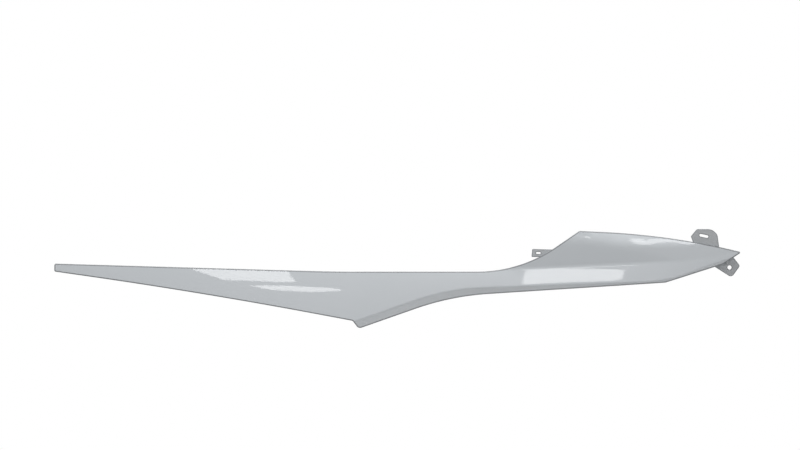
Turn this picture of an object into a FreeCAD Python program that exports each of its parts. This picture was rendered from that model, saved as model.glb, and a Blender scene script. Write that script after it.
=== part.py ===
import FreeCAD, Part
import math
import os
from FreeCAD import Vector

# Lower side panel of a scooter: one long blade-shaped moulding in painted plastic.
# Millimetres. X runs along the panel towards its tail, Z is up, and the painted face looks along -Y.
# The origin is the middle of the round screw hole in the tail tab.

# Thicknesses and depths
wall = 2.5              # thickness of the face and of the walls round its edge
edge_wall_depth = 9.0   # how far the edge walls run back, measured along Y from the painted face
edge_chamfer = 0.9      # between the painted face and the edge walls
least_inner_radius = 0.4
bite = 1.0              # how far anything on the back reaches into the wall it grows from

# The face as seen from the front: corners (x, z, corner radius), clockwise from the blade's blunt end
blade_end_x = -811.2
tip_x = 14.4
outline_corners = (
    (blade_end_x, 4.7, 2.0),
    (-476.0, -4.9, 2000.0),
    (-252.2, -4.9, 167.0),
    (-181.0, 43.9, 4.0),
    (-73.8, 39.1, 860.0),
    (tip_x, 18.4, 1.4),
    (-8.0, 3.8, 10.0),
    (-77.5, -18.2, 8.0),
    (-335.0, -34.6, 328.0),
    (-445.8, -73.3, 5.0),
    (-452.8, -63.7, 4.0),
    (-632.0, -30.3, 6500.0),
    (blade_end_x, -4.9, 2.0),
)

# Style lines: (x, height, half the length over which the bend is softened)
crease_line = (
    (blade_end_x, -19.7, 0),
    (-492.0, -79.0, 45),
    (-339.0, -25.5, 40),
    (-75.0, -16.0, 25),
    (-7.0, 8.5, 12),
    (tip_x, 14.5, 0),
)
valley_line = (
    (blade_end_x, 22.0, 0),
    (-285.0, -2.6, 30),
    (-96.0, 5.5, 20),
    (-40.0, 9.0, 20),
    (tip_x, 20.5, 0),
)
shoulder_line = (
    (blade_end_x, 46.0, 0),
    (-181.0, 37.4, 30),
    (-130.0, 27.5, 30),
    (-60.0, 27.5, 25),
    (tip_x, 34.0, 0),
)

# How far each part of the face leans back from upright, in degrees: (x, angle, softening)
band_lean = (
    (blade_end_x, 14.0, 0),
    (-560.0, 17.0, 60),
    (-460.0, 18.0, 60),
    (-300.0, 25.5, 50),
    (-110.0, 26.0, 40),
    (-30.0, 8.0, 30),
    (tip_x, 5.0, 0),
)
facet_lean = (
    (blade_end_x, -4.0, 0),
    (-110.0, -4.0, 40),
    (-40.0, 4.0, 25),
    (tip_x, 5.0, 0),
)
roll_lean = 38.0        # above the shoulder line
return_lean = -50.0     # below the crease line
band_swell = (
    (blade_end_x, 10.0, 0),
    (-450.0, 14.0, 60),
    (-260.0, 4.0, 60),
    (tip_x, 3.0, 0),
)
facet_swell = 5.0

# Softening of the style lines, measured along the face from the line
crease_blend = 1.8
valley_blend = 2.2
shoulder_blend = 13.0
inner_crease_blend = 2.0

# The panel bows outwards along its length, as its valley line shows from above
bow_radius = 4500.0
bow_middle_x = -400.0
bow_middle_y = -29.0

# Stiffening ribs across the back
rib_thickness = 1.6
rib_height = 6.5        # measured along Y from the painted face, so lower than the edge walls
rib_count = 11
first_rib_from_end = 71.2
last_rib_x = -60.0

# Hooked tongues behind the blade's top edge, for the moulding above
tongue_stations = (-690.0, -560.0, -430.0, -320.0)
tongue_width = 16.0
tongue_thickness = 2.2
tongue_reach = 11.0     # behind the rim of the edge wall
tongue_below_edge = 1.8
hook_depth = 3.0
hook_length = 2.4

# Tabs at the tail and at the front of the wing
tab_thickness = 2.5
tail_hole_radius = 2.5
tail_tab_corners = (
    (4.0, 13.2, 0.5),
    (12.7, 1.9, 3.0),
    (2.5, -12.2, 4.6),
    (-17.5, 0.5, 0.5),
    (-17.5, 8.0, 0.5),
    (-6.0, 13.2, 0.5),
)
gusset_stations = (-14.0, -3.0)
gusset_low = 2.0
top_of_gusset = 12.0
upper_tab_y = -8.2
upper_tab_corners = (
    (-42.6, 26.0, 0.5),
    (-46.8, 37.5, 2.0),
    (-39.5, 46.1, 2.0),
    (-21.5, 46.1, 12.0),
    (-14.9, 39.7, 7.0),
    (-12.2, 21.0, 0.5),
)
upper_slot_middle = (-31.1, 37.9)
upper_slot_length = 11.0
upper_slot_width = 3.2
upper_slot_tilt = -12.0
front_tab_y = -20.6
front_tab_corners = (
    (-238.4, 12.6, 1.0),
    (-237.4, 22.3, 1.0),
    (-206.0, 21.4, 0.5),
    (-206.0, 12.6, 0.5),
)
front_tab_bend_x = -223.8
front_tab_bend = 22.0
front_slot_middle = (-230.2, 17.4)
front_slot_length = 5.6
front_slot_width = 2.4

# Construction of the face
station_pitch = 20.0
past_ends = 9.0         # the face is built past both ends of the outline, then trimmed to it
top_reach = 62.0
return_reach = 16.0
back_reach = 75.0


def soft_line(points, x):
    """Height at x of a line through points, with each bend softened."""
    (x0, z0, _), (x1, z1, _) = points[0], points[1]
    slope = (z1 - z0) / (x1 - x0)
    height = z0 + slope * (x - x0)
    for here, after in zip(points[1:-1], points[2:]):
        next_slope = (after[1] - here[1]) / (after[0] - here[0])
        run, half = x - here[0], here[2]
        if run >= half:
            gain = run
        elif run <= -half:
            gain = 0.0
        else:
            gain = (run + half) ** 2 / (4 * half)
        height += (next_slope - slope) * gain
        slope = next_slope
    return height


def lean_back(degrees):
    return math.tan(math.radians(degrees))


def face_corners(x):
    """The corners of the painted face's section at x, from top to bottom, as (y, z)."""
    crease_z = soft_line(crease_line, x)
    valley_z = soft_line(valley_line, x)
    shoulder_z = soft_line(shoulder_line, x)
    valley_y = bow_middle_y + (x - bow_middle_x) ** 2 / (2 * bow_radius)
    crease_y = valley_y - (valley_z - crease_z) * lean_back(soft_line(band_lean, x))
    shoulder_y = valley_y + (shoulder_z - valley_z) * lean_back(soft_line(facet_lean, x))
    top_y = shoulder_y + (top_reach - shoulder_z) * lean_back(roll_lean)
    bottom_y = crease_y - return_reach * lean_back(return_lean)
    top, shoulder = (top_y, top_reach), (shoulder_y, shoulder_z)
    valley, crease = (valley_y, valley_z), (crease_y, crease_z)
    bottom = (bottom_y, crease_z - return_reach)
    facet_middle = swollen_middle(shoulder, valley, facet_swell)
    band_middle = swollen_middle(valley, crease, soft_line(band_swell, x))
    return [top, shoulder, facet_middle, valley, band_middle, crease, bottom]


def swollen_middle(upper, lower, degrees):
    """The corner that makes the span between two points swell towards the front by this turn."""
    dy, dz = lower[0] - upper[0], lower[1] - upper[1]
    push = math.tan(math.radians(degrees / 2)) / 2
    return ((upper[0] + lower[0]) / 2 + dz * push, (upper[1] + lower[1]) / 2 - dy * push)


def moved_back(corners, gap):
    """The same corners with every leg moved back square to itself by gap."""
    legs = []
    for (y0, z0), (y1, z1) in zip(corners, corners[1:]):
        length = math.hypot(y1 - y0, z1 - z0)
        ny, nz = -(z1 - z0) / length, (y1 - y0) / length
        legs.append(((y0 + ny * gap, z0 + nz * gap), ((y1 - y0) / length, (z1 - z0) / length)))
    moved = [legs[0][0]]
    for ((ay, az), (ady, adz)), ((by, bz), (bdy, bdz)) in zip(legs, legs[1:]):
        cross = ady * bdz - adz * bdy
        if abs(cross) < 1e-9:
            moved.append((by, bz))
            continue
        along = ((by - ay) * bdz - (bz - az) * bdy) / cross
        moved.append((ay + ady * along, az + adz * along))
    (y0, z0), (y1, z1) = corners[-2], corners[-1]
    length = math.hypot(y1 - y0, z1 - z0)
    moved.append((y1 - (z1 - z0) / length * gap, z1 + (y1 - y0) / length * gap))
    return moved


def along_leg(start, end, distance):
    """The point this far from start towards end, at most two fifths of the way."""
    length = math.hypot(end[0] - start[0], end[1] - start[1])
    share = min(distance / length, 0.4)
    return (start[0] + (end[0] - start[0]) * share, start[1] + (end[1] - start[1]) * share)


def section_wire(x, gap, at_valley, at_crease):
    """Closed section of everything behind the face, its front moved back by gap."""
    corners = face_corners(x)
    if gap > 0:
        corners = moved_back(corners, gap)
    top, shoulder, facet_middle, valley, band_middle, crease, bottom = corners
    joints = [
        top,
        along_leg(shoulder, top, shoulder_blend),
        along_leg(shoulder, facet_middle, shoulder_blend),
        along_leg(valley, facet_middle, at_valley),
        along_leg(valley, band_middle, at_valley),
        along_leg(crease, band_middle, at_crease),
        along_leg(crease, bottom, at_crease),
        bottom,
        (back_reach, bottom[1]),
        (back_reach, top[1]),
        top,
    ]
    curved = {2: facet_middle, 4: band_middle}
    if gap == 0:
        # the painted face turns softly at each style line, the hidden inner face crosses it with a flat
        curved.update({1: shoulder, 3: valley, 5: crease})
    edges = []
    for i, (start, end) in enumerate(zip(joints, joints[1:])):
        if i in curved:
            curve = Part.BezierCurve()
            curve.setPoles([Vector(x, *start), Vector(x, *curved[i]), Vector(x, *end)])
            edges.append(curve.toShape())
        else:
            edges.append(Part.makeLine(Vector(x, *start), Vector(x, *end)))
    return Part.Wire(edges)


def behind_face(gap, at_valley, at_crease):
    """Solid of everything behind the painted face, its front moved back by gap."""
    first, last = blade_end_x - past_ends, tip_x + past_ends
    count = round((last - first) / station_pitch)
    stations = [first + (last - first) * i / count for i in range(count + 1)]
    sections = [section_wire(x, gap, at_valley, at_crease) for x in stations]
    return Part.makeLoft(sections, True, False)


def rounded_face(corners, y):
    """Flat face in the XZ plane at y, from corners (x, z, radius) given clockwise."""
    points = [Vector(x, y, z) for x, z, _ in corners]
    starts, ends, edges = [], [], []
    for i, (_, _, radius) in enumerate(corners):
        here, before, after = points[i], points[i - 1], points[(i + 1) % len(corners)]
        back = (before - here).normalize()
        on = (after - here).normalize()
        half = back.getAngle(on) / 2
        setback = radius / math.tan(half)
        starts.append(here + back * setback)
        ends.append(here + on * setback)
        middle = here + (back + on).normalize() * (radius / math.sin(half) - radius)
        edges.append(Part.Arc(starts[i], middle, ends[i]).toShape())
    for i, end in enumerate(ends):
        edges.insert(2 * i + 1, Part.makeLine(end, starts[(i + 1) % len(corners)]))
    return Part.Face(Part.Wire(edges))


def inset_corners(corners, gap):
    """The outline's corners moved inwards by gap, their radii changed so the wall stays even."""
    result = []
    for i, (x, z, radius) in enumerate(corners):
        (xa, za, _), (xb, zb, _) = corners[i - 1], corners[(i + 1) % len(corners)]
        length_in, length_out = math.hypot(x - xa, z - za), math.hypot(xb - x, zb - z)
        ux, uz = (x - xa) / length_in, (z - za) / length_in
        vx, vz = (xb - x) / length_out, (zb - z) / length_out
        inward_x, inward_z = uz + vz, -(ux + vx)
        scale = gap / (1 + ux * vx + uz * vz)
        outer_corner = ux * vz - uz * vx < 0
        new_radius = max(radius - gap, least_inner_radius) if outer_corner else radius + gap
        result.append((x + inward_x * scale, z + inward_z * scale, new_radius))
    return result


def column(corners):
    """Solid running right through the panel along Y, with this outline."""
    return rounded_face(corners, -back_reach).extrude(Vector(0, 2 * back_reach + bite, 0))


def moved(shape, dy):
    copy = shape.copy()
    copy.translate(Vector(0, dy, 0))
    return copy


def plate(corners, y, thickness):
    return rounded_face(corners, y).extrude(Vector(0, thickness, 0))


def slot(middle, length, width, tilt):
    """Cutter for a round-ended slot through a plate, its length turned by tilt from level."""
    x, z = middle
    half = (length - width) / 2
    cutter = Part.makeCylinder(width / 2, 2 * back_reach, Vector(x - half, -back_reach, z), Vector(0, 1, 0))
    other = Part.makeCylinder(width / 2, 2 * back_reach, Vector(x + half, -back_reach, z), Vector(0, 1, 0))
    block = Part.makeBox(2 * half, 2 * back_reach, width, Vector(x - half, -back_reach, z - width / 2))
    cutter = cutter.fuse([other, block])
    cutter.rotate(Vector(x, 0, z), Vector(0, -1, 0), tilt)
    return cutter


def face_y(x, z):
    """Where the painted face lies at x and z, to within its softening."""
    corners = face_corners(x)
    for (y0, z0), (y1, z1) in zip(corners, corners[1:]):
        if z0 >= z >= z1:
            return y0 + (y1 - y0) * (z0 - z) / (z0 - z1)
    return corners[0][0] if z > corners[0][1] else corners[-1][0]


def top_edge_z(x):
    """Height of the outline's top edge at x, along the blade."""
    for (x0, z0, _), (x1, z1, _) in zip(outline_corners, outline_corners[1:]):
        if x0 <= x <= x1:
            return z0 + (z1 - z0) * (x - x0) / (x1 - x0)
    return outline_corners[0][1]


def skin(outer, inner):
    """The painted face with the walls round its edge, its front edges chamfered."""
    body = outer.common(column(outline_corners))
    front_edges = [edge for edge in body.Edges if edge.BoundBox.YMax < back_reach - bite]
    body = body.makeChamfer(edge_chamfer, front_edges)
    hollow = inner.common(column(inset_corners(outline_corners, wall)))
    return body.cut(hollow).cut(moved(outer, edge_wall_depth))


def back_ribs(outer, anchor):
    """Thin walls across the hollow of the back, lower than the edge walls."""
    room = anchor.common(column(inset_corners(outline_corners, wall - bite)))
    room = room.cut(moved(outer, rib_height))
    first = blade_end_x + first_rib_from_end
    pitch = (last_rib_x - first) / (rib_count - 1)
    ribs = []
    for i in range(rib_count):
        x = first + pitch * i
        corner = Vector(x - rib_thickness / 2, -back_reach, -back_reach)
        slab = Part.makeBox(rib_thickness, 2 * back_reach, 2 * back_reach, corner)
        ribs.append(room.common(slab))
    return ribs


def tongue(x):
    """A flat tongue running back under the top edge wall, with a hook at its end."""
    top = top_edge_z(x) - tongue_below_edge
    front = face_y(x, top) + wall + bite
    end = face_y(x, top) + edge_wall_depth + tongue_reach
    low = Vector(x - tongue_width / 2, front, top - tongue_thickness)
    flat = Part.makeBox(tongue_width, end - front, tongue_thickness, low)
    low = Vector(x - tongue_width / 2, end - hook_length, top - tongue_thickness - hook_depth)
    return flat.fuse(Part.makeBox(tongue_width, hook_length, hook_depth + bite / 2, low))


def bent_front_tab():
    """The tab at the front of the wing: flat by the wing, then bent back towards its end."""
    root_x, end_x = front_tab_corners[2][0], front_tab_corners[0][0] - tab_thickness
    bend = math.radians(front_tab_bend)
    back_of_end = front_tab_y + (front_tab_bend_x - end_x) * math.tan(bend)
    front_y = front_tab_y - tab_thickness
    mitre = tab_thickness * math.tan(bend / 2)
    front_of_end = back_of_end - tab_thickness / math.cos(bend)
    plan = [
        Vector(root_x, front_tab_y, 0),
        Vector(front_tab_bend_x, front_tab_y, 0),
        Vector(end_x, back_of_end, 0),
        Vector(end_x, front_of_end, 0),
        Vector(front_tab_bend_x - mitre, front_y, 0),
        Vector(root_x, front_y, 0),
    ]
    strip = Part.Face(Part.makePolygon(plan + plan[:1])).extrude(Vector(0, 0, back_reach))
    return strip.common(column(front_tab_corners))


def tail_gussets(anchor):
    """Thin walls that carry the tail tab from the back of the face."""
    walls = []
    for x in gusset_stations:
        corner = Vector(x - rib_thickness / 2, -back_reach, gusset_low)
        height = top_of_gusset - gusset_low
        slab = Part.makeBox(rib_thickness, back_reach + tab_thickness / 2, height, corner)
        walls.append(slab.common(anchor))
    return walls


def main():
    outer = behind_face(0.0, valley_blend, crease_blend)
    inner = behind_face(wall, valley_blend, inner_crease_blend)
    anchor = behind_face(wall - bite, valley_blend, inner_crease_blend)
    additions = back_ribs(outer, anchor)
    additions += [tongue(x) for x in tongue_stations]
    additions += tail_gussets(anchor)
    additions.append(plate(tail_tab_corners, -tab_thickness / 2, tab_thickness))
    additions.append(plate(upper_tab_corners, upper_tab_y, tab_thickness))
    additions.append(bent_front_tab())
    panel = skin(outer, inner).fuse(additions)
    hole = Part.makeCylinder(tail_hole_radius, 2 * back_reach, Vector(0, -back_reach, 0), Vector(0, 1, 0))
    panel = panel.cut([
        hole,
        slot(upper_slot_middle, upper_slot_length, upper_slot_width, upper_slot_tilt),
        slot(front_slot_middle, front_slot_length, front_slot_width, 0.0),
    ])
    print("one valid solid:", panel.isValid() and len(panel.Solids) == 1)
    os.makedirs("parts", exist_ok=True)
    panel.exportStep("parts/side_panel.step")


main()
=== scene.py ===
"""The looks of a scooter's lower side panel: the gloss paint, the bare moulded back, and a plain studio."""

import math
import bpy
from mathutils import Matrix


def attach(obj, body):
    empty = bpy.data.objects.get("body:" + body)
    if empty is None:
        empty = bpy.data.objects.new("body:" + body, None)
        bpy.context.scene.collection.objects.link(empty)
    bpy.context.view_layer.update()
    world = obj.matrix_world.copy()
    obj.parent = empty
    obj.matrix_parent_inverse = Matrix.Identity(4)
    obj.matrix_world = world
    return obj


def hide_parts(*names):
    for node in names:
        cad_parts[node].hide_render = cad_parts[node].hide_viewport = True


bl_info = {
    "name": "Scooter lower side panel",
    "version": (1, 0, 0),
    "blender": (4, 5, 0),
    "location": "3D View > Sidebar > Side Panel",
    "description": "Builds the painted panel, its ribs, tongues and tabs, and the studio round it",
    "category": "Object",
}

import bmesh
import bpy
import numpy as np
from mathutils import Vector
from mathutils.geometry import delaunay_2d_cdt

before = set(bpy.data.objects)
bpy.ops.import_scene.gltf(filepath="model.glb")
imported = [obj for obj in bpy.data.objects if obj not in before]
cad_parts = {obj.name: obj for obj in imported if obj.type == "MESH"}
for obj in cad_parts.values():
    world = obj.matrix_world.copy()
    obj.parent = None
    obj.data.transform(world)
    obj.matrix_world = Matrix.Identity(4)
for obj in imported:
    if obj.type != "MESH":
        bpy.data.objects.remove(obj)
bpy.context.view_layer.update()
MM = 0.001

# The moulding's drawing, in millimetres, in the frame of the CAD part.
# The face as seen from the front: corners (x, z, corner radius), clockwise from the blunt end.
BLADE_END_X = -811.2
TIP_X = 14.4
OUTLINE = (
    (BLADE_END_X, 4.7, 2.0),
    (-476.0, -4.9, 2000.0),
    (-252.2, -4.9, 167.0),
    (-181.0, 43.9, 4.0),
    (-73.8, 39.1, 860.0),
    (TIP_X, 18.4, 1.4),
    (-8.0, 3.8, 10.0),
    (-77.5, -18.2, 8.0),
    (-335.0, -34.6, 328.0),
    (-445.8, -73.3, 5.0),
    (-452.8, -63.7, 4.0),
    (-632.0, -30.3, 6500.0),
    (BLADE_END_X, -4.9, 2.0),
)

# Style lines: (x, height, half the length over which the bend is softened)
CREASE_LINE = (
    (BLADE_END_X, -19.7, 0),
    (-492.0, -79.0, 45),
    (-339.0, -25.5, 40),
    (-75.0, -16.0, 25),
    (-7.0, 8.5, 12),
    (TIP_X, 14.5, 0),
)
VALLEY_LINE = (
    (BLADE_END_X, 22.0, 0),
    (-285.0, -2.6, 30),
    (-96.0, 5.5, 20),
    (-40.0, 9.0, 20),
    (TIP_X, 20.5, 0),
)
SHOULDER_LINE = (
    (BLADE_END_X, 46.0, 0),
    (-181.0, 37.4, 30),
    (-130.0, 27.5, 30),
    (-60.0, 27.5, 25),
    (TIP_X, 34.0, 0),
)

# How far each part of the face leans back from upright, in degrees: (x, angle, softening)
BAND_LEAN = (
    (BLADE_END_X, 14.0, 0),
    (-560.0, 17.0, 60),
    (-460.0, 18.0, 60),
    (-300.0, 25.5, 50),
    (-110.0, 26.0, 40),
    (-30.0, 8.0, 30),
    (TIP_X, 5.0, 0),
)
FACET_LEAN = (
    (BLADE_END_X, -4.0, 0),
    (-110.0, -4.0, 40),
    (-40.0, 4.0, 25),
    (TIP_X, 5.0, 0),
)

# How far the face turns between two style lines as it swells, in degrees
BAND_SWELL = (
    (BLADE_END_X, 10.0, 0),
    (-450.0, 14.0, 60),
    (-260.0, 4.0, 60),
    (TIP_X, 3.0, 0),
)
FACET_SWELL = 5.0

# How far the roll above the shoulder leans back, and the return below the crease, in degrees
ROLL_LEAN = 38.0
RETURN_LEAN = -50.0

# Softening of the style lines, measured along the face from the line
CREASE_BLEND = 1.8
VALLEY_BLEND = 2.2
SHOULDER_BLEND = 13.0
LONGEST_BLEND_SHARE = 0.4  # of the way to the next line

# The panel bows outwards along its length, as its valley line shows from above
BOW_RADIUS = 4500.0
BOW_MIDDLE_X = -400.0
BOW_MIDDLE_Y = -29.0

# The sections run past the outline, up to this height and this far below the crease
TOP_REACH = 62.0
RETURN_REACH = 16.0

# Ribs across the back and gussets behind the tail tab, seated in the walls that they meet
FIRST_RIB_X = BLADE_END_X + 71.2
LAST_RIB_X = -60.0
RIB_COUNT = 11
GUSSET_STATIONS = (-14.0, -3.0)
GUSSET_LOW = 2.0
GUSSET_HIGH = 12.0
GUSSET_SHORTFALL = 0.1  # before the back of the tab
SEAT_IN_EDGE_WALL = 0.8
SEAT_IN_FACE = 0.5

# Hooked tongues behind the blade's top edge
TONGUE_STATIONS = (-690.0, -560.0, -430.0, -320.0)
TONGUE_BELOW_EDGE = 1.8
TONGUE_ROOT_GAP = 1.0  # behind the inside of the face
HOOK_DEPTH = 3.0
HOOK_LENGTH = 2.4
TONGUE_CORNER = 0.4

# Tabs at the tail and at the front of the wing, and their slots: (middle, length, width, tilt in degrees)
TAIL_TAB = (
    (4.0, 13.2, 0.5),
    (12.7, 1.9, 3.0),
    (2.5, -12.2, 4.6),
    (-17.5, 0.5, 0.5),
    (-17.5, 8.0, 0.5),
    (-6.0, 13.2, 0.5),
)
UPPER_TAB = (
    (-42.6, 26.0, 0.5),
    (-46.8, 37.5, 2.0),
    (-39.5, 46.1, 2.0),
    (-21.5, 46.1, 12.0),
    (-14.9, 39.7, 7.0),
    (-12.2, 21.0, 0.5),
)
FRONT_TAB = (
    (-238.4, 12.6, 1.0),
    (-237.4, 22.3, 1.0),
    (-206.0, 21.4, 0.5),
    (-206.0, 12.6, 0.5),
)
UPPER_TAB_FRONT_Y = -8.2
UPPER_SLOT = ((-31.1, 37.9), 11.0, 3.2, -12.0)
FRONT_TAB_BACK_Y = -20.6
FRONT_TAB_BEND_X = -223.8
FRONT_TAB_BEND = 22.0
FRONT_SLOT = ((-230.2, 17.4), 5.6, 2.4, 0.0)
TAB_CORNER = 0.9

# How finely the meshes are drawn: pitches in millimetres, the turn between points of an arc in degrees, and
# the rows of points along each style line by their height from it
RING_PITCH = 2.5
TAB_RING_PITCH = 1.0
TAB_GRID_PITCH = 1.5
TAB_GRID_MARGIN = 0.6
RIB_PITCH = 1.5
ARC_STEP = 8
EDGE_STEPS = 5
SLOT_END_STEPS = 12
COLUMN_PITCH = 2.5
ROW_PITCH = 3.0
LOWEST_ROW = -75.0
HIGHEST_ROW = 48.0
ROWS_BY_CREASE = (-2.4, -1.6, -0.8, 0, 0.8, 1.6, 2.4)
ROWS_BY_VALLEY = (-2.4, -1.2, 0, 1.2, 2.4)
ROWS_BY_SHOULDER = (-5, -3, -1, 1, 3, 5)
ROW_CLEARANCE = 1.3
EDGE_CLEARANCE = 0.9
CLOSEST_ROWS = 0.35

# The least radius of an inset corner, and that of one whose own radius is smaller than the gap
SHARPEST_RADIUS = 0.05
USED_UP_RADIUS = 0.4

# What the camera looks at, in metres
AIM = (-0.3962, -0.02, 0.051)

# Lamps: name, the point aimed at, azimuth to the right of the camera and elevation (degrees), distance,
# width, height, radiance and spread. The two keys stand where no part of the face mirrors them to the camera,
# and the third lamp lights the floor from behind the panel.
LAMPS = (
    ("key_left", (-0.41, 0, 0), -60, 30, 3.0, 0.8, 0.8, 23.0, 34),
    ("key_right", (-0.41, 0, 0), 60, 30, 3.0, 0.8, 0.8, 17.0, 34),
    ("floor_light", (-0.35, 0, 0), 180, 70, 3.0, 0.8, 0.8, 27.0, 180),
)

# Highlights: the outlines (x, z) that the camera sees on the face. Where one ends at the panel's edge or at
# the valley line, its outline runs on past it. Each is the image of a card that hangs this far from the face.
CARD_REACH = 1600.0
BLADE_HIGHLIGHT = (
    (-640.9, -4.1), (-608.5, -14.9), (-581.8, -15.7), (-520.5, -17.9),
    (-525.5, -11.3), (-540.4, 7.4), (-654.3, 9.1),
)
BLADE_STREAK = (
    (-575.7, -22.0), (-561.5, -25.0), (-540.0, -27.4), (-515.8, -28.6), (-491.8, -29.2),
    (-463.4, -26.9), (-479.8, -24.4), (-504.0, -23.2), (-528.0, -22.3), (-551.8, -21.6),
)
BAND_HIGHLIGHT = (
    (-243.4, -2.8), (-249.2, -20.4), (-222.2, -19.4), (-180.3, -17.3), (-138.5, -15.5),
    (-130.1, -13.8), (-127.7, -9.0), (-127.3, -3.0), (-140.2, -1.5), (-202.5, -1.0),
)
MIRRORED_CARDS = (
    ("softbox_blade", 6.9, BLADE_HIGHLIGHT),
    ("strip_blade", 6.9, BLADE_STREAK),
    ("softbox_band", 6.8, BAND_HIGHLIGHT),
)

# Cards given by their corners, in metres. The wing's shoulder mirrors the first as a wedge. The second is a
# black flag, which keeps the first from being mirrored again at the wing's front corner.
PLAIN_CARDS = (
    (
        "softbox_wing",
        5.6,
        ((0.158, -1.075, 1.200), (0.197, -1.062, 1.200), (0.197, -0.500, 1.525), (0.158, -0.518, 1.525)),
    ),
    (
        "flag_wing",
        0.0,
        ((-0.110, -0.337, 0.543), (-0.020, -0.337, 0.543), (-0.020, -0.200, 0.611), (-0.110, -0.200, 0.611)),
    ),
)


# The shape of the face


def soft_line(points, x):
    """Height at x of a line through points, with each bend softened."""
    x = np.asarray(x, float)
    slope = (points[1][1] - points[0][1]) / (points[1][0] - points[0][0])
    height = points[0][1] + slope * (x - points[0][0])
    for here, after in zip(points[1:-1], points[2:]):
        next_slope = (after[1] - here[1]) / (after[0] - here[0])
        run, half = x - here[0], here[2]
        softened = np.clip(run + half, 0, 2 * half) ** 2 / (4 * half)
        height = height + (next_slope - slope) * np.where(run >= half, run, softened)
        slope = next_slope
    return height


def lean(degrees):
    """How far back a surface runs for each millimetre of height when it leans by this angle."""
    return np.tan(np.radians(degrees))


def swollen_middle(upper, lower, degrees):
    """The corner that makes the span between two points swell towards the front by this turn."""
    push = np.tan(np.radians(degrees) / 2) / 2
    dy, dz = lower[0] - upper[0], lower[1] - upper[1]
    return np.array([(upper[0] + lower[0]) / 2 + dz * push, (upper[1] + lower[1]) / 2 - dy * push])


def face_corners(x):
    """The corners of the painted face's sections at x, from top to bottom, as rows of (y, z)."""
    crease_z = soft_line(CREASE_LINE, x)
    valley_z = soft_line(VALLEY_LINE, x)
    shoulder_z = soft_line(SHOULDER_LINE, x)
    valley_y = BOW_MIDDLE_Y + (x - BOW_MIDDLE_X) ** 2 / (2 * BOW_RADIUS)
    crease_y = valley_y - (valley_z - crease_z) * lean(soft_line(BAND_LEAN, x))
    shoulder_y = valley_y + (shoulder_z - valley_z) * lean(soft_line(FACET_LEAN, x))
    shoulder, valley = np.array([shoulder_y, shoulder_z]), np.array([valley_y, valley_z])
    crease = np.array([crease_y, crease_z])
    top = np.array([shoulder_y + (TOP_REACH - shoulder_z) * lean(ROLL_LEAN), np.full_like(x, TOP_REACH)])
    bottom = np.array([crease_y - RETURN_REACH * lean(RETURN_LEAN), crease_z - RETURN_REACH])
    facet_middle = swollen_middle(shoulder, valley, FACET_SWELL)
    band_middle = swollen_middle(valley, crease, soft_line(BAND_SWELL, x))
    return [top, shoulder, facet_middle, valley, band_middle, crease, bottom]


def moved_back(corners, gap):
    """The same corners with every leg moved back square to itself by gap."""
    starts, ways = [], []
    for a, b in zip(corners, corners[1:]):
        way = (b - a) / np.hypot(*(b - a))
        starts.append(a + np.array([-way[1], way[0]]) * gap)
        ways.append(way)
    moved = [starts[0]]
    for a, along, b, across in zip(starts, ways, starts[1:], ways[1:]):
        cross = along[0] * across[1] - along[1] * across[0]
        cross = np.where(np.abs(cross) < 1e-9, 1e-9, cross)
        gone = ((b[0] - a[0]) * across[1] - (b[1] - a[1]) * across[0]) / cross
        moved.append(a + along * gone)
    moved.append(corners[-1] + np.array([-ways[-1][1], ways[-1][0]]) * gap)
    return moved


def along_leg(start, end, distance):
    """The point this far from start towards end, at most as far as a blend may run."""
    length = np.hypot(*(end - start))
    return start + (end - start) * np.minimum(distance / length, LONGEST_BLEND_SHARE)


def face_depth(x, z, gap=0.0):
    """Where the painted face lies (y) at each x and z, or with a gap, the surface that far behind it."""
    x, z = np.asarray(x, float), np.asarray(z, float)
    corners = face_corners(x)
    if gap:
        corners = moved_back(corners, gap)
    top, shoulder, facet_middle, valley, band_middle, crease, bottom = corners
    joints = [
        top,
        along_leg(shoulder, top, SHOULDER_BLEND),
        along_leg(shoulder, facet_middle, SHOULDER_BLEND),
        along_leg(valley, facet_middle, VALLEY_BLEND),
        along_leg(valley, band_middle, VALLEY_BLEND),
        along_leg(crease, band_middle, CREASE_BLEND),
        along_leg(crease, bottom, CREASE_BLEND),
        bottom,
    ]
    turns = [(joints[0] + joints[1]) / 2, shoulder, facet_middle, valley, band_middle, crease]
    turns.append((joints[6] + joints[7]) / 2)
    # each span is a parabola from joint to joint with its turn as control point, solved for where it meets z
    depth = np.zeros_like(z)
    for i, turn in enumerate(turns):
        start, end = joints[i], joints[i + 1]
        here = (z <= start[1]) if i else np.full(z.shape, True)
        a, b, c = start[1] - 2 * turn[1] + end[1], 2 * (turn[1] - start[1]), start[1] - z
        root = np.sqrt(np.maximum(b * b - 4 * a * c, 0))
        t = 2 * c / np.where(np.abs(root - b) < 1e-9, 1e-9, root - b)
        y = (1 - t) ** 2 * start[0] + 2 * t * (1 - t) * turn[0] + t**2 * end[0]
        depth = np.where(here, y, depth)
    return depth


def face_normal(x, z, gap=0.0):
    """Which way the face looks at each x and z, towards the front."""
    step = 0.05
    along = (face_depth(x + step, z, gap) - face_depth(x - step, z, gap)) / (2 * step)
    up = (face_depth(x, z + step, gap) - face_depth(x, z - step, gap)) / (2 * step)
    return unit(np.stack([along, -np.ones_like(along), up], 1))


def unit(vectors):
    """The vectors, a row each, brought to length 1."""
    return vectors / np.linalg.norm(vectors, axis=1, keepdims=True)


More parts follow.
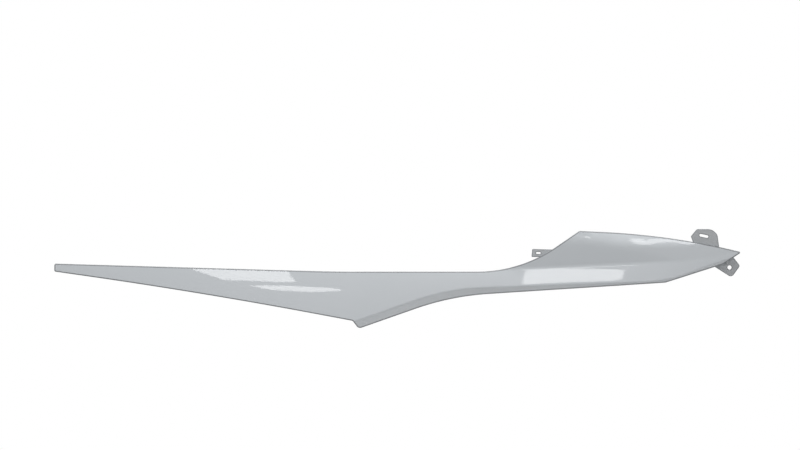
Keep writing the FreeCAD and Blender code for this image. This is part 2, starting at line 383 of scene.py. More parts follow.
def inset_corners(corners, gap):
    """Outline corners moved inwards by gap, their radii changed so the gap stays even."""
    result = []
    for i, (x, z, radius) in enumerate(corners):
        (xa, za, _), (xb, zb, _) = corners[i - 1], corners[(i + 1) % len(corners)]
        length_in, length_out = math.hypot(x - xa, z - za), math.hypot(xb - x, zb - z)
        ux, uz = (x - xa) / length_in, (z - za) / length_in
        vx, vz = (xb - x) / length_out, (zb - z) / length_out
        scale = gap / (1 + ux * vx + uz * vz)
        outer_corner = ux * vz - uz * vx < 0
        smallest = SHARPEST_RADIUS if gap < radius else USED_UP_RADIUS
        new_radius = max(radius - gap, smallest) if outer_corner else radius + gap
        result.append((x + (uz + vz) * scale, z - (ux + vx) * scale, new_radius))
    return result


def ring_of(corners, gap=0.0, pitch=RING_PITCH):
    """Points (x, z) round an outline moved inwards by gap, and the way out at each: as many for any gap."""
    placed = inset_corners(corners, gap) if gap else corners
    arcs, counts, stops = [], [], []
    for source, keep in ((corners, counts), (placed, arcs)):
        for i, (x, z, radius) in enumerate(source):
            here = np.array([x, z])
            back = np.array(source[i - 1][:2]) - here
            on = np.array(source[(i + 1) % len(source)][:2]) - here
            back, on = back / np.hypot(*back), on / np.hypot(*on)
            half = math.acos(max(-1.0, min(1.0, float(back @ on)))) / 2
            turn = math.pi - 2 * half
            centre = here + (back + on) / np.hypot(*(back + on)) * radius / math.sin(half)
            ends = here + back * radius / math.tan(half), here + on * radius / math.tan(half)
            if keep is counts:
                by_turn = math.ceil(turn / math.radians(ARC_STEP))
                counts.append(max(3, by_turn, math.ceil(turn * radius / pitch)))
                stops.append(ends)
            else:
                outer = back[0] * on[1] - back[1] * on[0] > 0
                arcs.append((centre, radius, ends, 1.0 if outer else -1.0))
    points, ways = [], []
    for i, (centre, radius, ends, sign) in enumerate(arcs):
        first = (ends[0] - centre) / radius
        last = (ends[1] - centre) / radius
        swing = math.acos(max(-1.0, min(1.0, float(first @ last))))
        for k in range(counts[i] + 1):
            t = k / counts[i]
            way = (first * math.sin((1 - t) * swing) + last * math.sin(t * swing)) / math.sin(swing)
            points.append(centre + way * radius)
            ways.append(way * sign)
        following = arcs[(i + 1) % len(arcs)]
        gap_length = np.hypot(*(stops[(i + 1) % len(stops)][0] - stops[i][1]))
        between = max(1, math.ceil(gap_length / pitch))
        for k in range(1, between):
            points.append(ends[1] + (following[2][0] - ends[1]) * k / between)
            ways.append(ways[-1])
    return np.array(points), np.array(ways)


def inside(points, ring):
    """Which points lie inside the ring."""
    x, z = points[:, 0, None], points[:, 1, None]
    ax, az = ring[:, 0], ring[:, 1]
    bx, bz = np.roll(ax, -1), np.roll(az, -1)
    spans = (az > z) != (bz > z)
    rise = np.where(bz == az, 1e-12, bz - az)
    return (spans & (x < (bx - ax) * (z - az) / rise + ax)).sum(1) % 2 == 1


def clear_of(points, ring, distance):
    """Which points are at least this far from the ring."""
    a, b = ring, np.roll(ring, -1, 0)
    way = b - a
    length = np.maximum((way**2).sum(1), 1e-12)
    keep = np.ones(len(points), bool)
    batch = 2000
    for i in range(0, len(points), batch):
        off = points[i : i + batch, None] - a
        t = np.clip((off * way).sum(2) / length, 0, 1)
        keep[i : i + batch] = (((off - way * t[..., None]) ** 2).sum(2)).min(1) > distance**2
    return keep


def filled(rings, inner):
    """Triangles that fill the first ring apart from the other rings, through the inner points.

    As seen from the front they run counter-clockwise."""
    points = np.vstack([*rings, inner]) if len(inner) else np.vstack(rings)
    edges, base = [], 0
    for ring in rings:
        edges += [(base + i, base + (i + 1) % len(ring)) for i in range(len(ring))]
        base += len(ring)
    got = delaunay_2d_cdt([Vector(p) for p in points], edges, [], 0, 1e-6)
    place = [ids[0] for ids in got[3]]
    faces = np.array([[place[i] for i in face] for face in got[2]])
    middles = points[faces].mean(1)
    keep = inside(middles, rings[0])
    for ring in rings[1:]:
        keep &= ~inside(middles, ring)
    faces = faces[keep]
    (ax, az), (bx, bz), (cx, cz) = points[faces].transpose(1, 2, 0)
    clockwise = (bx - ax) * (cz - az) - (bz - az) * (cx - ax) < 0
    faces[clockwise] = faces[clockwise][:, ::-1]
    return points, faces


class Moulding:
    """A mesh in the making, in millimetres, which keeps the normal of every face corner."""

    def __init__(self):
        self.points, self.faces, self.normals, self.slots = [], [], [], []

    def add(self, points):
        """Adds points and gives the number of the first."""
        base = sum(len(p) for p in self.points)
        self.points.append(np.asarray(points, float))
        return base

    def cover(self, base, faces, normals, slot=0, turned=False):
        """Faces over points added at base, with one normal a point."""
        for face in faces:
            face = list(face)[::-1] if turned else list(face)
            self.faces.append([base + i for i in face])
            self.normals += [normals[i] for i in face]
            self.slots.append(slot)

    def strip(self, front, back, front_normals, back_normals, count, slot=0):
        """Quads from a ring to the next ring behind or outside it."""
        for i in range(count):
            j = (i + 1) % count
            self.faces.append([back + i, front + i, front + j, back + j])
            self.normals += [back_normals[i], front_normals[i], front_normals[j], back_normals[j]]
            self.slots.append(slot)

    def block(self, sections):
        """A closed solid through a row of four-cornered sections."""
        base = self.add(np.vstack(sections))
        last = len(sections) - 1
        quads = [[0, 1, 2, 3], [4 * last + 3, 4 * last + 2, 4 * last + 1, 4 * last]]
        for k in range(last):
            for i in range(4):
                j = (i + 1) % 4
                quads.append([4 * k + j, 4 * k + i, 4 * k + 4 + i, 4 * k + 4 + j])
        points = self.points[-1]
        for quad in quads:
            a, b, c, d = (points[i] for i in quad)
            normal = np.cross(c - a, d - b)
            normal /= max(np.linalg.norm(normal), 1e-9)
            self.faces.append([base + i for i in quad])
            self.normals += [normal] * 4
            self.slots.append(0)

    def finish(self, name, materials):
        """The mesh as an object of the scene, in metres, riding on the panel."""
        mesh = bpy.data.meshes.new(name)
        mesh.from_pydata((np.vstack(self.points) * MM).tolist(), [], self.faces)
        for material in materials:
            mesh.materials.append(material)
        mesh.polygons.foreach_set("material_index", self.slots)
        mesh.polygons.foreach_set("use_smooth", [True] * len(self.faces))
        mesh.normals_split_custom_set([tuple(n) for n in self.normals])
        mesh.update()
        piece = bpy.data.objects.new(name, mesh)
        bpy.context.scene.collection.objects.link(piece)
        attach(piece, "root")
        return piece


def face_rows(ring):
    """Points inside the ring, close together along the style lines and wider apart between them."""
    columns = np.arange(BLADE_END_X, TIP_X, COLUMN_PITCH)
    lines = []
    for line, heights in (
        (CREASE_LINE, ROWS_BY_CREASE),
        (VALLEY_LINE, ROWS_BY_VALLEY),
        (SHOULDER_LINE, ROWS_BY_SHOULDER),
    ):
        lines += [soft_line(line, columns) + height for height in heights]
    lines = np.stack(lines)
    points = [np.stack([columns, line], 1) for line in lines]
    for height in np.arange(LOWEST_ROW, HIGHEST_ROW, ROW_PITCH):
        free = np.abs(lines - height).min(0) > ROW_CLEARANCE
        points.append(np.stack([columns[free], np.full(free.sum(), height)], 1))
    points = np.vstack(points)
    points = points[inside(points, ring)]
    points = points[clear_of(points, ring, EDGE_CLEARANCE)]
    order = np.lexsort((points[:, 1], points[:, 0]))
    points = points[order]
    same_column = np.diff(points[:, 0]) < COLUMN_PITCH / 2
    close = same_column & (np.diff(points[:, 1]) < CLOSEST_ROWS)
    return points[np.concatenate([[True], ~close])]


# Finishes


def from_hex(code):
    """An sRGB hex colour as linear red, green and blue."""
    parts = [int(code[i : i + 2], 16) / 255 for i in (1, 3, 5)]
    return [p / 12.92 if p <= 0.04045 else ((p + 0.055) / 1.055) ** 2.4 for p in parts]


def add(tree, kind, links=(), **settings):
    """Adds a node. Each of links is an input and what it takes: an output socket or a plain value."""
    node = tree.nodes.new(kind)
    for key, value in settings.items():
        setattr(node, key, value)
    for key, value in links:
        if isinstance(value, bpy.types.NodeSocket):
            tree.links.new(value, node.inputs[key])
        else:
            node.inputs[key].default_value = value
    return node


def new_material(name):
    """An empty material and its node tree."""
    material = bpy.data.materials.new(name)
    material.use_nodes = True
    material.node_tree.nodes.clear()
    return material, material.node_tree


def noise(tree, place, size, detail, roughness=0.5):
    """Noise from 0 to 1, with clouds of this size."""
    links = [("Vector", place), ("Scale", 1 / size), ("Detail", detail), ("Roughness", roughness)]
    return add(tree, "ShaderNodeTexNoise", links).outputs["Fac"]


def blended(tree, share, light, deep):
    """A colour between two others, by a share that runs from 0 to 1."""
    return add(tree, "ShaderNodeMix", [(0, share), (6, light), (7, deep)], data_type="RGBA").outputs[2]


def ranged(tree, value, low, high, first=0.3, last=0.7):
    """A value that goes from low to high while another goes from first to last."""
    links = [("Value", value), ("From Min", first), ("From Max", last), ("To Min", low), ("To Max", high)]
    return add(tree, "ShaderNodeMapRange", links).outputs["Result"]


def relief(tree, height, depth, beneath=None):
    """The normal of a surface with bumps of this depth, laid over another normal if one is given."""
    bump = add(tree, "ShaderNodeBump", [("Strength", 1.0), ("Distance", depth), ("Height", height)])
    if beneath is not None:
        tree.links.new(beneath, bump.inputs["Normal"])
    return bump.outputs["Normal"]


def gloss_paint(finish):
    """White two-coat body paint sprayed over ABS. The clear coat gives sharp reflections over a soft, even
    body colour; its slight orange peel and the moulding's long waves make their edges waver a little."""
    material, tree = new_material("gloss_white_body_paint")
    place = add(tree, "ShaderNodeTexCoord").outputs["Object"]
    # pigment lies a little unevenly over lengths of about 60 mm
    cloud = noise(tree, place, 60 * MM, 2.0)
    colour = blended(tree, cloud, [*finish.paint_light, 1], [*finish.paint_deep, 1])
    # orange peel, over the moulding's own waves of about 45 mm
    waves = relief(tree, noise(tree, place, 45 * MM, 0.0), finish.wave_depth)
    surface = relief(tree, noise(tree, place, finish.peel_size, 1.0, 0.4), finish.peel_depth, waves)
    # fine dust in the paint makes the colour coat scatter a little more here and there
    rough = ranged(tree, noise(tree, place, 0.8 * MM, 3.0), 0.42, 0.52)
    shader = add(
        tree,
        "ShaderNodeBsdfPrincipled",
        [
            ("Base Color", colour),
            ("Roughness", rough),
            ("Normal", surface),
            ("Specular IOR Level", 0.2),
            ("IOR", 1.5),
            ("Coat Weight", 1.0),
            ("Coat Roughness", 0.03),
            ("Coat IOR", 1.5),
            ("Coat Normal", surface),
        ],
    )
    add(tree, "ShaderNodeOutputMaterial", [("Surface", shader.outputs["BSDF"])])
    return material


def moulded_plastic(finish):
    """Injection-moulded ABS as it leaves the tool, with a dusting of overspray. It looks dull beside the
    paint, faintly grained, and its flow streaks run along the panel."""
    material, tree = new_material("bare_moulded_abs")
    place = add(tree, "ShaderNodeTexCoord").outputs["Object"]
    # flow streaks, about 90 mm long and 6 mm wide
    streak = (1 / (90 * MM), 1 / (6 * MM), 1 / (6 * MM))
    squeezed = add(tree, "ShaderNodeMapping", [("Vector", place), ("Scale", streak)])
    streaks = noise(tree, squeezed.outputs["Vector"], 1.0, 3.0)
    plain = blended(tree, streaks, [*finish.plastic_light, 1], [*finish.plastic_deep, 1])
    # overspray lands in specks of about half a millimetre
    specks = ranged(tree, noise(tree, place, 0.5 * MM, 2.0), 0.0, 0.35, 0.45, 0.6)
    colour = blended(tree, specks, plain, [*finish.paint_light, 1])
    # tool grain, with a pitch of about 0.7 mm
    surface = relief(tree, noise(tree, place, 0.7 * MM, 2.0), 0.03 * MM)
    rough = ranged(tree, streaks, 0.48, 0.6)
    shader = add(
        tree,
        "ShaderNodeBsdfPrincipled",
        [("Base Color", colour), ("Roughness", rough), ("Normal", surface), ("IOR", 1.53)],
    )
    add(tree, "ShaderNodeOutputMaterial", [("Surface", shader.outputs["BSDF"])])
    return material


def edge_shade_material(finish):
    """Painted shade on the moulding's rounded edges: a darker grey with no clear coat, laid on so that
    a dark line runs round the face and the tabs."""
    material, tree = new_material("painted_edge_shade")
    place = add(tree, "ShaderNodeTexCoord").outputs["Object"]
    # painted shade, darker in some places than in others, over lengths of about 25 mm
    drawn = noise(tree, place, 25 * MM, 3.0)
    colour = blended(tree, drawn, [*finish.edge_shade_light, 1], [*finish.edge_shade_deep, 1])
    # rubbed along the edge, in marks of about 1.5 mm
    rubbed = noise(tree, place, 1.5 * MM, 2.0)
    surface = relief(tree, rubbed, 0.01 * MM)
    rough = ranged(tree, rubbed, 0.5, 0.7)
    shader = add(
        tree,
        "ShaderNodeBsdfPrincipled",
        [
            ("Base Color", colour),
            ("Roughness", rough),
            ("Normal", surface),
            ("Specular IOR Level", 0.3),
            ("IOR", 1.5),
        ],
    )
    add(tree, "ShaderNodeOutputMaterial", [("Surface", shader.outputs["BSDF"])])
    return material


def finishes():
    """The panel's three materials, made once."""
    finish = bpy.context.scene.side_panel_finish
    paint = bpy.data.materials.get("gloss_white_body_paint") or gloss_paint(finish)
    plastic = bpy.data.materials.get("bare_moulded_abs") or moulded_plastic(finish)
    # the third is painted shade, a dark line laid round the rounded edges
    edge = bpy.data.materials.get("painted_edge_shade") or edge_shade_material(finish)
    return paint, plastic, edge


# Settings


def length_setting(name, description, default):
    """A length to set, its default in millimetres."""
    return bpy.props.FloatProperty(name=name, description=description, default=default * MM, unit="LENGTH")


def colour_setting(name, description, code):
    """A colour to set, its default as sRGB hex."""
    default = from_hex(code)
    return bpy.props.FloatVectorProperty(name=name, description=description, default=default, subtype="COLOR")


class SidePanelSizes(bpy.types.PropertyGroup):
    """Sizes of the moulding."""

    wall: length_setting("Wall", "Thickness of the face and edge walls", 2.5)
    edge_wall_depth: length_setting("Edge wall depth", "How far the edge walls run back", 9.0)
    edge_radius: length_setting("Edge radius", "Rounding between face and edge walls", 1.4)
    rim_chamfer: length_setting("Rim chamfer", "Broken corner along the rim of the edge walls", 0.4)
    rib_height: length_setting("Rib height", "Ribs' depth from the painted face", 6.5)
    rib_thickness: length_setting("Rib thickness", "Thickness of the ribs", 1.6)
    tab_thickness: length_setting("Tab thickness", "Thickness of the fixing tabs", 2.5)
    tongue_width: length_setting("Tongue width", "Width of the hooked tongues", 16.0)
    tongue_thickness: length_setting("Tongue thickness", "Thickness of the hooked tongues", 2.2)
    tongue_reach: length_setting("Tongue reach", "How far the tongues stand behind the rim", 11.0)
    tail_hole_radius: length_setting("Tail hole radius", "Radius of the tail tab's screw hole", 2.5)


class SidePanelFinish(bpy.types.PropertyGroup):
    """Colours and surface of the paint, the painted shade on its edges and the bare plastic."""

    paint_light: colour_setting("Paint", "Body colour, lighter patches", "#D0D4D8")
    paint_deep: colour_setting("Paint, deeper", "Body colour, deeper patches", "#CBD0D4")
    plastic_light: colour_setting("Plastic", "Bare plastic, lighter streaks", "#B9BBBD")
    plastic_deep: colour_setting("Plastic, deeper", "Bare plastic, deeper streaks", "#ADB0B2")
    # Edge: painted shade, the dark grey of the line laid round the rounded edges
    edge_shade_light: colour_setting("Edge", "Thinned paint, lighter stretches", "#9A9DA0")
    edge_shade_deep: colour_setting("Edge, deeper", "Thinned paint, deeper stretches", "#84878A")
    peel_size: length_setting("Orange peel size", "Size of the orange peel's cells", 2.5)
    peel_depth: length_setting("Orange peel depth", "Height of the orange peel", 0.004)
    wave_depth: length_setting("Wave depth", "Height of the moulding's long waves", 0.08)


class SidePanelStudio(bpy.types.PropertyGroup):
    """The camera, the floor and the light from all round."""

    camera_distance: bpy.props.FloatProperty(
        name="Camera distance", description="From the camera to the panel", default=10.0, unit="LENGTH"
    )
    frame_width: bpy.props.FloatProperty(
        name="Framed width", description="Width of the picture at the panel", default=0.96, unit="LENGTH"
    )
    floor_drop: bpy.props.FloatProperty(
        name="Floor drop", description="How far the floor lies below the panel", default=0.65, unit="LENGTH"
    )
    floor_width: bpy.props.FloatProperty(
        name="Floor width", description="Width and depth of the floor", default=18.0, unit="LENGTH"
    )
    floor_glow: bpy.props.FloatProperty(
        name="Floor glow", description="Light added to the floor where it is seen or mirrored", default=0.33
    )
    room_light: bpy.props.FloatProperty(
        name="Room light", description="Strength of the even light from all round", default=0.3
    )


# The panel, piece by piece


def skin_ring(gap, drop):
    """The outline moved inwards by gap and back from the face by drop, the way out, and its x and z."""
    flat, out = ring_of(OUTLINE, gap)
    y = face_depth(flat[:, 0], flat[:, 1]) + drop
    side = np.stack([out[:, 0], np.zeros(len(out)), out[:, 1]], 1)
    return np.stack([flat[:, 0], y, flat[:, 1]], 1), side, flat


def skin_sheet(skin, gap, surface_gap):
    """Adds the points of the face inside gap, or of the surface that lies surface_gap behind it.

    Gives the number of the first, the triangles, the normals and how many points lie round the edge."""
    _, _, edge = skin_ring(gap, 0.0)
    flat, triangles = filled([edge], face_rows(edge))
    normals = face_normal(flat[:, 0], flat[:, 1], surface_gap)
    y = face_depth(flat[:, 0], flat[:, 1], surface_gap)
    return skin.add(np.stack([flat[:, 0], y, flat[:, 1]], 1)), triangles, normals, len(edge)


class SIDEPANEL_OT_skin(bpy.types.Operator):
    """Builds the painted face with its edge walls, and the bare inside of both"""

    bl_idname = "side_panel.skin"
    bl_label = "Painted skin"

    def execute(self, context):
        sizes = context.scene.side_panel_sizes
        wall, depth = sizes.wall / MM, sizes.edge_wall_depth / MM
        radius, chamfer = sizes.edge_radius / MM, sizes.rim_chamfer / MM
        skin = Moulding()
        # the face in paint, the inside in bare plastic, the rounded edge in painted shade
        painted, bare, edge_shade = range(3)

        base, triangles, normals, count = skin_sheet(skin, radius, 0.0)
        skin.cover(base, triangles, normals, painted)

        # the rounded edge of the face, in painted shade that draws a dark line round it
        last, last_normals = base, normals[:count]
        for k in range(1, EDGE_STEPS + 1):
            angle = math.radians(90 * (1 - k / EDGE_STEPS))
            points, side, flat = skin_ring(radius * (1 - math.cos(angle)), radius * (1 - math.sin(angle)))
            front = face_normal(flat[:, 0], flat[:, 1])
            mixed = unit(side * math.cos(angle) + front * math.sin(angle))
            here = skin.add(points)
            skin.strip(last, here, last_normals, mixed, count, edge_shade)
            last, last_normals = here, mixed

        # the edge walls, then their rim with both corners broken
        behind = -face_normal(flat[:, 0], flat[:, 1])
        for gap, drop, normals, slot in (
            (0.0, depth - chamfer, side, painted),
            (chamfer, depth, unit(side + behind), painted),
            (wall - chamfer, depth, behind, painted),
            (wall, depth - chamfer, unit(behind - side), bare),
        ):
            here = skin.add(skin_ring(gap, drop)[0])
            skin.strip(last, here, normals, normals, count, slot)
            last = here

        # the inside of the walls and of the face
        side = skin_ring(wall, 0.0)[1]
        base, triangles, normals, count = skin_sheet(skin, wall, wall)
        skin.strip(last, base, -side, -side, count, bare)
        skin.cover(base, triangles, -normals, bare, turned=True)

        piece = skin.finish("painted_skin", finishes())
        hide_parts("side_panel")
        return {"FINISHED"}


def cross_wall(ribs, x, low, high, thickness, wall, back):
    """A thin wall across the back at x, from one height to another, whose far side lies where back says."""
    heights = np.linspace(high, low, max(2, math.ceil((high - low) / RIB_PITCH) + 1))
    front = face_depth(np.full_like(heights, x), heights, wall - SEAT_IN_FACE)
    left, right = x - thickness / 2, x + thickness / 2
    sections = []
    for z, near, far in zip(heights, front, back(heights)):
        sections.append(np.array([(left, near, z), (right, near, z), (right, far, z), (left, far, z)]))
    ribs.block(sections)


class SIDEPANEL_OT_ribs(bpy.types.Operator):
    """Builds the stiffening ribs across the back and the gussets behind the tail tab"""

    bl_idname = "side_panel.ribs"
    bl_label = "Ribs"

    def execute(self, context):
        sizes = context.scene.side_panel_sizes
        wall, thickness = sizes.wall / MM, sizes.rib_thickness / MM
        ribs = Moulding()
        starts, _ = ring_of(OUTLINE, wall - SEAT_IN_EDGE_WALL)
        ends = np.roll(starts, -1, 0)
        for x in np.linspace(FIRST_RIB_X, LAST_RIB_X, RIB_COUNT):
            hit = (starts[:, 0] > x) != (ends[:, 0] > x)
            share = (x - starts[hit, 0]) / (ends[hit, 0] - starts[hit, 0])
            crossings = starts[hit, 1] + (ends[hit, 1] - starts[hit, 1]) * share

            def back(z, x=x):
                return face_depth(np.full_like(z, x), z) + sizes.rib_height / MM

            cross_wall(ribs, x, crossings.min(), crossings.max(), thickness, wall, back)

        def back_of_tab(z):
            return np.full_like(z, sizes.tab_thickness / MM / 2 - GUSSET_SHORTFALL)

        for x in GUSSET_STATIONS:
            cross_wall(ribs, x, GUSSET_LOW, GUSSET_HIGH, thickness, wall, back_of_tab)
        piece = ribs.finish("back_ribs", [finishes()[1]])
        return {"FINISHED"}


class SIDEPANEL_OT_tongues(bpy.types.Operator):
    """Builds the hooked tongues behind the blade's top edge"""

    bl_idname = "side_panel.tongues"
    bl_label = "Tongues"

    def execute(self, context):
        sizes = context.scene.side_panel_sizes
        wall, half = sizes.wall / MM, sizes.tongue_width / MM / 2
        thickness = sizes.tongue_thickness / MM
        top_edge = OUTLINE[:3]
        made = bmesh.new()
        for x in TONGUE_STATIONS:
            edge = np.interp(x, [corner[0] for corner in top_edge], [corner[1] for corner in top_edge])
            top = edge - TONGUE_BELOW_EDGE
            face = float(face_depth(np.array([x]), np.array([top]))[0])
            front = face + wall + TONGUE_ROOT_GAP
            end = face + sizes.edge_wall_depth / MM + sizes.tongue_reach / MM
            low = top - thickness
            side = [
                (front, top),
                (end, top),
                (end, low - HOOK_DEPTH),
                (end - HOOK_LENGTH, low - HOOK_DEPTH),
                (end - HOOK_LENGTH, low),
                (front, low),
            ]
            left = [made.verts.new(Vector((x - half, y, z)) * MM) for y, z in side]
            right = [made.verts.new(Vector((x + half, y, z)) * MM) for y, z in side]
            made.faces.new(left)
            made.faces.new(right[::-1])
            for i in range(len(side)):
                j = (i + 1) % len(side)
                made.faces.new((left[j], left[i], right[i], right[j]))
        bmesh.ops.recalc_face_normals(made, faces=made.faces)
        bmesh.ops.bevel(
            made, geom=made.edges[:], offset=TONGUE_CORNER * MM, segments=2, affect="EDGES", profile=0.5
        )
        mesh = bpy.data.meshes.new("edge_tongues")
        made.to_mesh(mesh)
        made.free()
        mesh.materials.append(finishes()[1])
        piece = bpy.data.objects.new("edge_tongues", mesh)
        context.scene.collection.objects.link(piece)
        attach(piece, "root")
        return {"FINISHED"}


def slot_ring(middle, length, width, tilt):
    """A round-ended slot as a ring of points and the way out of it at each, clockwise from the front."""
    half, radius = (length - width) / 2, width / 2
    points, ways = [], []
    for end, first in ((1, 90), (-1, -90)):
        for k in range(SLOT_END_STEPS + 1):
            angle = math.radians(first - 180 * k / SLOT_END_STEPS)
            way = np.array([math.cos(angle), math.sin(angle)])
            points.append(np.array([end * half, 0]) + way * radius)
            ways.append(way)
    turn = math.radians(tilt)
    spin = np.array([[math.cos(turn), math.sin(turn)], [-math.sin(turn), math.cos(turn)]])
    return np.array(points) @ spin + np.array(middle), np.array(ways) @ spin


def add_tab(tabs, thickness, corners, front, hole, bend_x=-math.inf, bend=0.0):
    """Adds a tab with one hole, its front side at this y. Below bend_x it is bent back by this angle."""
    slope = math.tan(math.radians(bend))

    def placed(flat, y):
        back = np.maximum(bend_x - flat[:, 0], 0) * slope
        return np.stack([flat[:, 0], front + y + back, flat[:, 1]], 1)

    # each loop's edge with the way out of the plastic, and the ring where its rounded corner begins
    rim, rim_ways = ring_of(corners, 0.0, TAB_RING_PITCH)
    points, ways = hole
    loops = [((rim, rim_ways), ring_of(corners, TAB_CORNER, TAB_RING_PITCH)[0])]
    loops.append(((points, -ways), points + ways * TAB_CORNER))
    outer, inner = (near for _, near in loops)
    low, high = outer.min(0), outer.max(0)
    columns, rows = (np.arange(low[i], high[i], TAB_GRID_PITCH) for i in range(2))
    grid = np.stack(np.meshgrid(columns, rows), 2).reshape(-1, 2)
    grid = grid[inside(grid, outer) & clear_of(grid, outer, TAB_GRID_MARGIN)]
    grid = grid[~inside(grid, inner) & clear_of(grid, inner, TAB_GRID_MARGIN)]
    flat, triangles = filled([outer, inner], grid)
    lean_of_end = np.where(flat[:, 0] < bend_x, -slope, 0.0)
    facing = unit(np.stack([lean_of_end, -np.ones(len(flat)), np.zeros(len(flat))], 1))
    near = tabs.add(placed(flat, 0.0))
    tabs.cover(near, triangles, facing)
    far = tabs.add(placed(flat, thickness))
    tabs.cover(far, triangles, -facing, turned=True)
    start = 0
    for (edge, ways), _ in loops:
        count = len(edge)
        side = np.stack([ways[:, 0], np.zeros(count), ways[:, 1]], 1)
        face = facing[start : start + count]
        rows = [
            (near + start, face),
            (tabs.add(placed(edge, TAB_CORNER)), side),
            (tabs.add(placed(edge, thickness - TAB_CORNER)), side),
            (far + start, -face),
        ]
        # the tab's edges take the second slot, painted shade that draws a dark line round them
        for (a, a_normals), (b, b_normals) in zip(rows, rows[1:]):
            if start == 0:
                tabs.strip(a, b, a_normals, b_normals, count, 1)
            else:
                tabs.strip(b, a, b_normals, a_normals, count, 1)
        start += count


class SIDEPANEL_OT_tabs(bpy.types.Operator):
    """Builds the fixing tabs at the tail and at the front of the wing"""

    bl_idname = "side_panel.tabs"
    bl_label = "Fixing tabs"

    def execute(self, context):
        sizes = context.scene.side_panel_sizes
        thickness, bore = sizes.tab_thickness / MM, 2 * sizes.tail_hole_radius / MM
        tail_hole = slot_ring((0, 0), bore, bore, 0.0)
        bend = (FRONT_TAB_BEND_X, FRONT_TAB_BEND)
        tabs = Moulding()
        add_tab(tabs, thickness, TAIL_TAB, -thickness / 2, tail_hole)
        add_tab(tabs, thickness, UPPER_TAB, UPPER_TAB_FRONT_Y, slot_ring(*UPPER_SLOT))
        add_tab(tabs, thickness, FRONT_TAB, FRONT_TAB_BACK_Y - thickness, slot_ring(*FRONT_SLOT), *bend)
        # bare plastic on the tabs' faces and painted shade on their edges
        piece = tabs.finish("fixing_tabs", finishes()[1:])
        return {"FINISHED"}


# The studio


def shows_background(tree):
    """1 on rays from the camera, mirrored ones and ones let through, which show the room as it looks."""
    path = add(tree, "ShaderNodeLightPath")
    shown = path.outputs["Is Camera Ray"]
    for kind in ("Is Glossy Ray", "Is Transmission Ray"):
        either = add(tree, "ShaderNodeMath", [(0, shown), (1, path.outputs[kind])], operation="MAXIMUM")
        shown = either.outputs["Value"]
    return shown


def pale_card(reach, glow_strength):
    """Matt uncoated card. It shows white where the lamps reach it and pale grey far off, with shadows."""
    material, tree = new_material("pale_floor_card")
    # clouds of about 450 mm; without a place linked, the noise runs from 0 to 1 across the card
    fibre = add(tree, "ShaderNodeTexNoise", [("Scale", 2 * reach / (450 * MM)), ("Detail", 3.0)])
    tone = blended(tree, fibre.outputs["Fac"], [*from_hex("#E6E6E6"), 1], [*from_hex("#E8E8E8"), 1])
    card = add(tree, "ShaderNodeBsdfDiffuse", [("Color", tone)])
    glow = add(tree, "ShaderNodeEmission", [("Color", (1, 1, 1, 1)), ("Strength", glow_strength)])
    lit = add(tree, "ShaderNodeAddShader", [(0, card.outputs["BSDF"]), (1, glow.outputs["Emission"])])
    shown = add(
        tree,
        "ShaderNodeMixShader",
        [(0, shows_background(tree)), (1, card.outputs["BSDF"]), (2, lit.outputs["Shader"])],
    )
    add(tree, "ShaderNodeOutputMaterial", [("Surface", shown.outputs["Shader"])])
    return material


def white_room(room_light):
    """A world that is white behind the panel and softer as a light."""
    world = bpy.data.worlds.new("white_room")
    world.use_nodes = True
    tree = world.node_tree
    tree.nodes.clear()
    strength = ranged(tree, shows_background(tree), room_light, 1.0, 0.0, 1.0)
    sky = add(tree, "ShaderNodeBackground", [("Color", (1, 1, 1, 1)), ("Strength", strength)])
    add(tree, "ShaderNodeOutputWorld", [("Surface", sky.outputs["Background"])])
    return world


def softbox_cloth(name, radiance):
    """Evenly lit cloth of a softbox, which gloss paint mirrors as a clean bright patch."""
    material, tree = new_material(name + "_cloth")
    glow = add(tree, "ShaderNodeEmission", [("Color", (1, 1, 1, 1)), ("Strength", radiance)])
    add(tree, "ShaderNodeOutputMaterial", [("Surface", glow.outputs["Emission"])])
    return material


def hang_lamp(scene, name, target, azimuth, elevation, away, width, height, radiance, spread):
    """An area lamp aimed at target, with this radiance straight ahead of it."""
    lamp = bpy.data.lights.new(name, "AREA")
    lamp.shape = "RECTANGLE"
    lamp.size, lamp.size_y = width, height
    lamp.spread = math.radians(spread)
    # a narrower spread gathers the same power, so the power is lowered to keep the radiance as stated
    half = lamp.spread / 2
    gathered = 1 - half / math.tan(half) if spread < 180 else 1
    lamp.energy = math.pi * width * height * radiance * gathered
    box = bpy.data.objects.new(name, lamp)
    side, up = math.radians(azimuth), math.radians(elevation)
    way = Vector((math.sin(side) * math.cos(up), -math.cos(side) * math.cos(up), math.sin(up)))
    box.location = Vector(target) + way * away
    box.rotation_euler = (-way).to_track_quat("-Z", "Y").to_euler()
    scene.collection.objects.link(box)


def mirrored_card(outline, eye):
    """The corners of a card whose mirror image in the face, seen from eye, has this outline (x, z)."""
    x, z = np.array(outline).T
    spots = np.stack([x, face_depth(x, z), z], 1)
    sight = unit(spots - np.array(eye) / MM)
    facing = face_normal(x, z)
    onward = sight - 2 * (sight * facing).sum(1, keepdims=True) * facing
    return ((spots + onward * CARD_REACH) * MM).tolist()


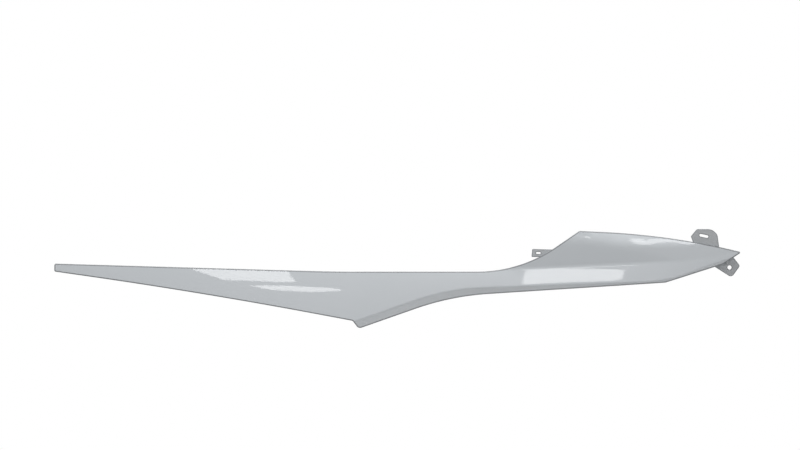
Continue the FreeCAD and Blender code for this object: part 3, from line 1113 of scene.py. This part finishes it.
class SIDEPANEL_OT_studio(bpy.types.Operator):
    """Builds the floor, the room light, the lamps and softboxes, and the camera"""

    bl_idname = "side_panel.studio"
    bl_label = "Studio"

    def execute(self, context):
        scene = context.scene
        studio = scene.side_panel_studio

        mesh = bpy.data.meshes.new("studio_floor")
        reach = studio.floor_width / 2
        corners = [(-reach, -reach), (reach, -reach), (reach, reach), (-reach, reach)]
        mesh.from_pydata([(x, y, -studio.floor_drop) for x, y in corners], [], [(0, 1, 2, 3)])
        mesh.materials.append(pale_card(reach, studio.floor_glow))
        floor = bpy.data.objects.new("studio_floor", mesh)
        scene.collection.objects.link(floor)

        scene.world = white_room(studio.room_light)
        for lamp in LAMPS:
            hang_lamp(scene, *lamp)

        # camera: level, square to the panel, with a long lens
        lens = bpy.data.cameras.new("studio_camera")
        lens.sensor_width = 36.0
        lens.lens = lens.sensor_width * studio.camera_distance / studio.frame_width
        lens.clip_end = 60.0
        camera = bpy.data.objects.new("studio_camera", lens)
        camera.location = Vector(AIM) - Vector((0, studio.camera_distance, 0))
        camera.rotation_euler = (math.radians(90), 0, 0)
        scene.collection.objects.link(camera)
        scene.camera = camera
        scene.view_settings.view_transform = "Standard"

        # the cards that the face mirrors as highlights
        cards = []
        for name, radiance, outline in MIRRORED_CARDS:
            cards.append((name, radiance, mirrored_card(outline, camera.location)))
        for name, radiance, corners in (*cards, *PLAIN_CARDS):
            mesh = bpy.data.meshes.new(name)
            mesh.from_pydata(corners, [], [tuple(range(len(corners)))])
            mesh.materials.append(softbox_cloth(name, radiance))
            softbox = bpy.data.objects.new(name, mesh)
            # like the lamps, it lights the panel without standing in the picture
            softbox.visible_camera = False
            scene.collection.objects.link(softbox)
        return {"FINISHED"}


class SIDEPANEL_PT_build(bpy.types.Panel):
    """Lists the settings and the steps that build the panel"""

    bl_idname = "SIDEPANEL_PT_build"
    bl_label = "Side Panel"
    bl_space_type = "VIEW_3D"
    bl_region_type = "UI"
    bl_category = "Side Panel"

    def draw(self, context):
        for settings in ("side_panel_sizes", "side_panel_finish", "side_panel_studio"):
            group = getattr(context.scene, settings)
            box = self.layout.box()
            for name in group.__annotations__:
                box.prop(group, name)
        for step in STEPS:
            self.layout.operator(step.bl_idname)


SETTINGS = (SidePanelSizes, SidePanelFinish, SidePanelStudio)
STEPS = (
    SIDEPANEL_OT_skin,
    SIDEPANEL_OT_ribs,
    SIDEPANEL_OT_tongues,
    SIDEPANEL_OT_tabs,
    SIDEPANEL_OT_studio,
)


def register():
    for made in (*SETTINGS, *STEPS, SIDEPANEL_PT_build):
        bpy.utils.register_class(made)
    bpy.types.Scene.side_panel_sizes = bpy.props.PointerProperty(type=SidePanelSizes)
    bpy.types.Scene.side_panel_finish = bpy.props.PointerProperty(type=SidePanelFinish)
    bpy.types.Scene.side_panel_studio = bpy.props.PointerProperty(type=SidePanelStudio)


def unregister():
    del bpy.types.Scene.side_panel_studio
    del bpy.types.Scene.side_panel_finish
    del bpy.types.Scene.side_panel_sizes
    for made in reversed((*SETTINGS, *STEPS, SIDEPANEL_PT_build)):
        bpy.utils.unregister_class(made)


def main():
    register()
    bpy.ops.side_panel.skin()
    bpy.ops.side_panel.ribs()
    bpy.ops.side_panel.tongues()
    bpy.ops.side_panel.tabs()
    bpy.ops.side_panel.studio()


if __name__ == "__main__":
    main()
